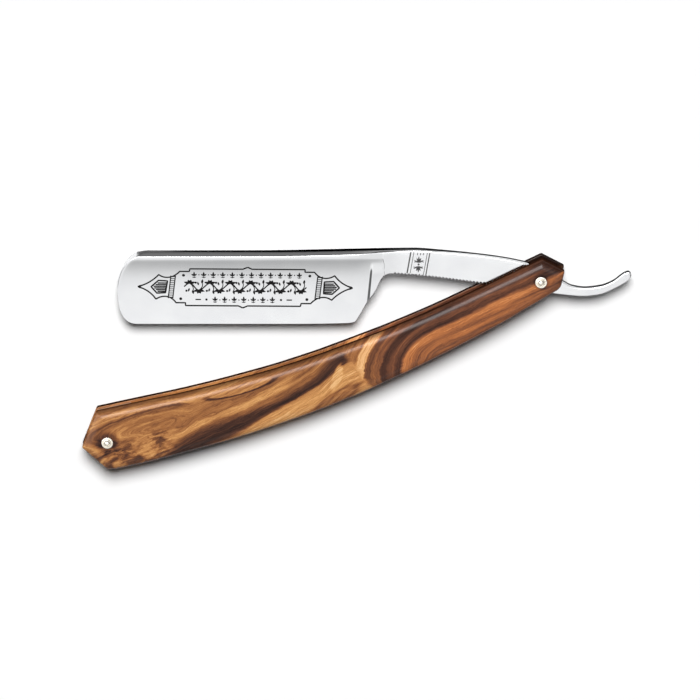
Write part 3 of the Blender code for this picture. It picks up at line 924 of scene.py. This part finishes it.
def vine(etch):
    """A wavy stem with leaves and berries on both sides."""
    stem = []
    for i in range(181):
        wave = math.sin(2 * math.pi * VINE_WAVES * i / 180)
        stem.append(along(i / 180, VINE_Y + VINE_SWING * wave))
    etch.line(stem, 0.4)
    for i in range(2 * VINE_WAVES):
        up = 1 if i % 2 == 0 else -1
        x, y = along((i + 0.5) / (2 * VINE_WAVES), VINE_Y + up * VINE_SWING)
        for turn, length, width in ((68, 1.35, 1.0), (112, 1.35, 1.0), (16, 1.9, 0.85), (164, 1.9, 0.85)):
            etch.leaf(x, y - up * 0.1, length, width, up * turn)
        etch.line(bow((x, y), (x + 0.9, y - up * 2.9), up * 0.6), (0.36, 0.24))
        etch.leaf(x + 0.9, y - up * 2.2, 1.5, 0.75, -up * 80)
        etch.leaf(x - 0.1, y - up * 1.6, 1.3, 0.6, -up * 105)
        etch.dot(x - 1.0, y - up * 2.5, 0.36)


def sprig_rows(etch):
    """Sprigs above the vine, and fewer below it between dots and dashes."""
    for i in range(12):
        sprig(etch, *along((i + 0.9) * SPRIG_PITCH, 4.05))
        if i < 11:
            etch.dot(*along((i + 1.4) * SPRIG_PITCH, 4.1), 0.2)
    for i in range(7):
        sprig(etch, *along(0.5 + (i - 3) * SPRIG_PITCH, -4.1))
        if i < 6:
            etch.dot(*along(0.5 + (i - 2.5) * SPRIG_PITCH, -4.2), 0.2)
    for side in (-1, 1):
        etch.dot(*along(0.5 + side * 0.305, -4.1), 0.36)
        etch.line([along(0.5 + side * 0.35, -4.1), along(0.5 + side * 0.395, -4.1)], 0.4)


def make_panel(material):
    etch = Etching()
    panel_end(etch, PANEL_LEFT, 1)
    panel_end(etch, PANEL_RIGHT, -1)
    vine(etch)
    sprig_rows(etch)
    return etch.finish("etched_panel", material)


BAND_FOOT = Vector((-41.1, 1.2))
BAND_LEAN = 0.17
BAND_LINES = ((0.0, 0.42), (0.95, 0.2), (5.1, 0.2), (5.85, 0.34))  # offset and width of each


def make_tang_band(material):
    """Slanted lines across the tang with a leaf pattern between them."""
    etch = Etching()

    def at(offset, y):
        return Vector((BAND_FOOT.x + offset + BAND_LEAN * (y - BAND_FOOT.y), y))

    for offset, width in BAND_LINES:
        low = lower_edge(BAND_FOOT.x + offset) + 0.5
        high = top_edge(BAND_FOOT.x + 1.1 + offset) - 0.45
        etch.line([at(offset, low), at(offset, high)], width)
    middle = 3.05
    for k in (-0.9, 0.0, 0.9):
        etch.line([at(middle + k, 8.35), at(middle + k, 7.7)], 0.26)
        etch.line([at(middle + k, 1.75), at(middle + k, 1.25)], 0.2)
    etch.dot(*at(middle, 4.75), 0.32)
    for up, base in ((1, 5.3), (-1, 4.2)):
        for turn in (-62, -24, 24, 62):
            etch.leaf(*at(middle, base), 1.75, 0.52, up * 90 + turn)
        etch.leaf(*at(middle, base), 2.1, 0.6, up * 90)
        for k in (-1, 1):
            etch.dot(*at(middle + k * 1.25, base + up * 0.25), 0.18)
    return etch.finish("tang_band", material)


# ---------------------------------------------------------------- handle


def inset(outline, distance):
    """The outline moved inwards, with its corners kept sharp."""
    moved = []
    for i, point in enumerate(outline):
        before = (point - outline[i - 1]).normalized()
        after = (outline[(i + 1) % len(outline)] - point).normalized()
        in_before = Vector((-before.y, before.x))
        in_after = Vector((-after.y, after.x))
        both = in_before + in_after
        moved.append(point + both * (distance / (1 + in_before.dot(in_after))))
    return moved


def handle_outline(steps=70):
    """The scales' outline, anticlockwise, and which of its points are corners."""
    outline = [Vector(p) for p in RIGHT_END]
    top = curve_through(HANDLE_TOP)
    bottom = curve_through(HANDLE_BOTTOM)
    for i in range(1, steps):
        x = mix(HANDLE_TOP[-1][0], HANDLE_TOP[0][0], i / steps)
        outline.append(Vector((x, top(x))))
    outline += [Vector(p) for p in LEFT_END]
    for i in range(steps):
        x = mix(HANDLE_BOTTOM[0][0], HANDLE_BOTTOM[-1][0], i / steps)
        outline.append(Vector((x, bottom(x))))
    sharp = {*range(5), *range(4 + steps, 8 + steps)}
    return outline, sharp


def rounded(outline, sharp, radius):
    points = []
    for i, point in enumerate(outline):
        if i in sharp:
            points += corner(outline[i - 1], point, outline[(i + 1) % len(outline)], radius, 4)
        else:
            points.append(point)
    return points


def scale_profile():
    """(inset, height) from the inner face up the side and over the shoulder."""
    profile = [(0.25, 0.0), (0.08, 0.04), (0.0, 0.16), (0.0, 0.9)]
    steps = 16
    for i in range(steps + 1):
        angle = math.pi / 2 * i / steps
        rise = SCALE_THICKNESS - SHOULDER_RISE * (1 - math.sin(angle))
        profile.append((SHOULDER_INSET * (1 - math.cos(angle)), rise))
    return profile + [(SHOULDER_INSET + 0.06, SCALE_THICKNESS)]


def loft(levels, place):
    """A closed solid through (outline, height) levels, whose points place puts in the scene."""
    bm = bmesh.new()
    rings = [[bm.verts.new(place(p, z)) for p in outline] for outline, z in levels]
    for ring, above in zip(rings, rings[1:]):
        for i in range(len(ring)):
            j = (i + 1) % len(ring)
            bm.faces.new((ring[i], ring[j], above[j], above[i]))
    bm.faces.new(reversed(rings[0]))
    bm.faces.new(rings[-1])
    bmesh.ops.recalc_face_normals(bm, faces=bm.faces)
    return bm


def make_scale(name, side, material):
    outline, sharp = handle_outline()
    lean = (SLOT_HALF - WEDGE_HALF) / PIN_SPAN
    levels = []
    for distance, height in scale_profile():
        levels.append((rounded(inset(outline, distance), sharp, CORNER_RADIUS), height))

    def place(p, height):
        return from_handle(p.x, p.y, side * (SLOT_HALF + lean * p.x + height))

    return mesh_object(name, loft(levels, place), material, 40)


def turned(name, profile, centre, material, side=1, steps=96):
    """A closed ring or a solid turned from (radius, height) points about centre."""
    bm = bmesh.new()
    rings = []
    for radius, height in profile:
        z = centre.z + side * height * MM
        if radius <= 0:
            rings.append([bm.verts.new((centre.x, centre.y, z))])
            continue
        ring = []
        for i in range(steps):
            turn = 2 * math.pi * i / steps
            ring.append(bm.verts.new((
                centre.x + math.cos(turn) * radius * MM, centre.y + math.sin(turn) * radius * MM, z,
            )))
        rings.append(ring)
    pairs = list(zip(rings, rings[1:]))
    if len(rings[0]) > 1:
        pairs.append((rings[-1], rings[0]))
    for ring, after in pairs:
        for i in range(steps):
            j = (i + 1) % steps
            corners = [ring[i % len(ring)], ring[j % len(ring)]]
            corners += [after[j % len(after)], after[i % len(after)]]
            bm.faces.new(list(dict.fromkeys(corners)))
    bmesh.ops.recalc_face_normals(bm, faces=bm.faces)
    return mesh_object(name, bm, material, 40)


def arc_points(centre, radius, start, end, steps):
    points = []
    for i in range(steps + 1):
        angle = math.radians(mix(start, end, i / steps))
        points.append((centre[0] + math.cos(angle) * radius, centre[1] + math.sin(angle) * radius))
    return points


def collar_profile(bore, outer, low, high, groove=None):
    """A washer with a rounded rim and, if groove is given, a turned groove of that radius."""
    rim = 0.15
    profile = [(bore, low), (bore, high - 0.04), (bore + 0.04, high)]
    if groove:
        profile += [(groove - 0.12, high), (groove - 0.05, high - 0.1), (groove + 0.05, high - 0.1)]
        profile.append((groove + 0.12, high))
    profile += arc_points((outer - rim, high - rim), rim, 90, 0, 6)
    return profile + [(outer, low + 0.05), (outer - 0.05, low)]


def make_pins(metal):
    """Peened pins and their collars, at the heights of the CAD ones."""
    for prefix, centre in (("pivot", PIVOT), ("wedge", WEDGE_PIN)):
        middle = Vector((centre.x, centre.y, PIVOT.z))
        reach = (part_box(prefix + "_pin")[1].z - PIVOT.z) / MM
        half = [(0.0, reach), (0.38, reach - 0.012), (0.58, reach - 0.06), (0.7, reach - 0.14)]
        half += [(0.74, reach - 0.24), (0.74, 1.0)]
        profile = half + [(r, -h) for r, h in reversed(half)]
        pin = turned(prefix + "_rivet", profile, middle, metal)
        dress(pin, "handle", prefix + "_pin")
        for place, side in (("front", 1), ("back", -1)):
            for kind, bore, groove in (
                ("collar", COLLAR_BORE, COLLAR_GROOVE), ("inner_collar", INNER_COLLAR_BORE, None),
            ):
                node = f"{prefix}_{kind}_{place}"
                low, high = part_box(node)
                heights = sorted(abs(z - PIVOT.z) / MM for z in (low.z, high.z))
                outer = (high.x - low.x) / 2 / MM
                profile = collar_profile(bore, outer, *heights, groove)
                washer = turned(node + "_washer", profile, middle, metal, side)
                dress(washer, "handle", node)


def dress(piece, body, node):
    """Rides a piece on its body, in place of a CAD node if one is named."""
    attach(piece, body)
    if node:
        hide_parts(node)


# ---------------------------------------------------------------- the razor

dress(make_blade(steel()), "blade", "blade")
dress(make_panel(etched("etched_black", 14, 40)), "blade", None)
dress(make_tang_band(etched("etched_grey", 70, 110)), "blade", None)
for place, side in (("front", 1), ("back", -1)):
    wood = figured_wood(f"figured_wood_{place}", side)
    scale = make_scale(f"{place}_scale_wood", side, wood)
    dress(scale, "handle", f"{place}_scale")
make_pins(nickel_silver())

for node, finish in (
    ("wedge", wedge_wood()), ("thrust_washer_front", bronze()), ("thrust_washer_back", bronze()),
):
    obj = frame["nodes"][node]
    obj.data.materials.clear()
    obj.data.materials.append(finish)

# ---------------------------------------------------------------- floor, light and camera


def make_floor():
    bpy.ops.mesh.primitive_plane_add(size=12.0, location=(0, 0, 0))
    floor = bpy.context.object
    floor.name = "floor"
    material, _, shader = new_material("white_floor")
    shader.inputs["Base Color"].default_value = (0.96, 0.96, 0.96, 1.0)
    shader.inputs["Roughness"].default_value = 0.9
    shader.inputs["Specular IOR Level"].default_value = 0.0
    floor.data.materials.append(material)


def make_world():
    """White behind the razor, and for shiny surfaces a room with dim sides and a soft box overhead."""
    world = bpy.data.worlds.new("studio")
    bpy.context.scene.world = world
    world.use_nodes = True
    g = Graph(world.node_tree)
    parts = g.node("ShaderNodeSeparateXYZ")
    g.put(parts.inputs[0], g.node("ShaderNodeTexCoord").outputs["Generated"])
    x, y, z = (Field(g, out) for out in parts.outputs)
    front = g.profile(y, (
        (-1.0, 0.4), (-0.85, 0.42), (-0.79, 0.44), (-0.72, 0.57), (-0.66, 0.74), (-0.6, 0.87),
        (-0.5, 0.95), (-0.28, 0.97), (0.1, 0.95), (0.4, 0.6), (0.6, 0.2), (1.0, 0.16),
    ), "LINEAR") * 1.12
    sides = g.profile(x, (
        (-1.0, 0.3), (-0.85, 0.12), (-0.7, 0.12), (-0.55, 0.85), (-0.3, 1.0), (0.0, 1.0),
        (0.22, 0.8), (0.42, 0.7), (0.6, 0.4), (0.8, 0.12), (1.0, 0.3),
    ), "LINEAR")
    room = g.choose(g.step(z, 0.24, 0.1), front * sides, 1.0)
    box = g.step(y, 0.3, 0.24) * g.step(y, -0.24, 0.26) * g.step(z, 0.2, 0.3)
    box = box * g.step(x, -0.3, -0.04, 0.35, 1.0) * g.step(x, 0.16, 0.04)
    mirrored = world.node_tree.nodes["Background"]
    room = room + box * 12.0
    g.put(mirrored.inputs["Color"], g.vector(room, room, room))
    horizon = g.node("ShaderNodeBackground")
    horizon.inputs["Color"].default_value = (1.0, 1.0, 1.0, 1.0)
    seen = g.node("ShaderNodeMixShader")
    g.put(seen.inputs[0], g.node("ShaderNodeLightPath").outputs["Is Camera Ray"])
    g.put(seen.inputs[1], mirrored.outputs[0])
    g.put(seen.inputs[2], horizon.outputs[0])
    g.put(world.node_tree.nodes["World Output"].inputs["Surface"], seen.outputs[0])
    world.cycles_visibility.diffuse = False


def make_sun(name, energy, degrees, from_zenith):
    """A soft light that only dull surfaces see: shiny ones mirror the world instead."""
    light = bpy.data.lights.new(name, "SUN")
    light.energy = energy
    light.angle = math.radians(degrees)
    sun = bpy.data.objects.new(name, light)
    bpy.context.scene.collection.objects.link(sun)
    sun.rotation_euler = (math.radians(-from_zenith), 0, 0)
    sun.visible_glossy = False


# In millimetres. The aim is from the pivot's head, to the right and up in the picture.
CAMERA_TILT = math.radians(16.5)
CAMERA_DISTANCE = 1986.6
CAMERA_LENS = 334.286
CAMERA_SENSOR = 36.0
AIM = (-58.437, -20.386)


def make_camera():
    head = Vector((PIVOT.x, PIVOT.y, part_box("pivot_pin")[1].z))
    right = Vector((1, 0, 0))
    up = Vector((0, math.cos(CAMERA_TILT), -math.sin(CAMERA_TILT)))
    back = Vector((0, math.sin(CAMERA_TILT), math.cos(CAMERA_TILT)))
    data = bpy.data.cameras.new("camera")
    data.sensor_width = CAMERA_SENSOR
    data.lens = CAMERA_LENS
    data.clip_start, data.clip_end = 0.1, 50.0
    camera = bpy.data.objects.new("camera", data)
    bpy.context.scene.collection.objects.link(camera)
    camera.location = head + (right * AIM[0] + up * AIM[1] + back * CAMERA_DISTANCE) * MM
    camera.rotation_euler = Matrix((right, up, back)).transposed().to_euler()
    bpy.context.scene.camera = camera


make_floor()
make_world()
make_sun("key", energy=3.7, degrees=25, from_zenith=32)
make_sun("fill", energy=0.16, degrees=170, from_zenith=10)
make_camera()
bpy.context.scene.view_settings.view_transform = "Standard"
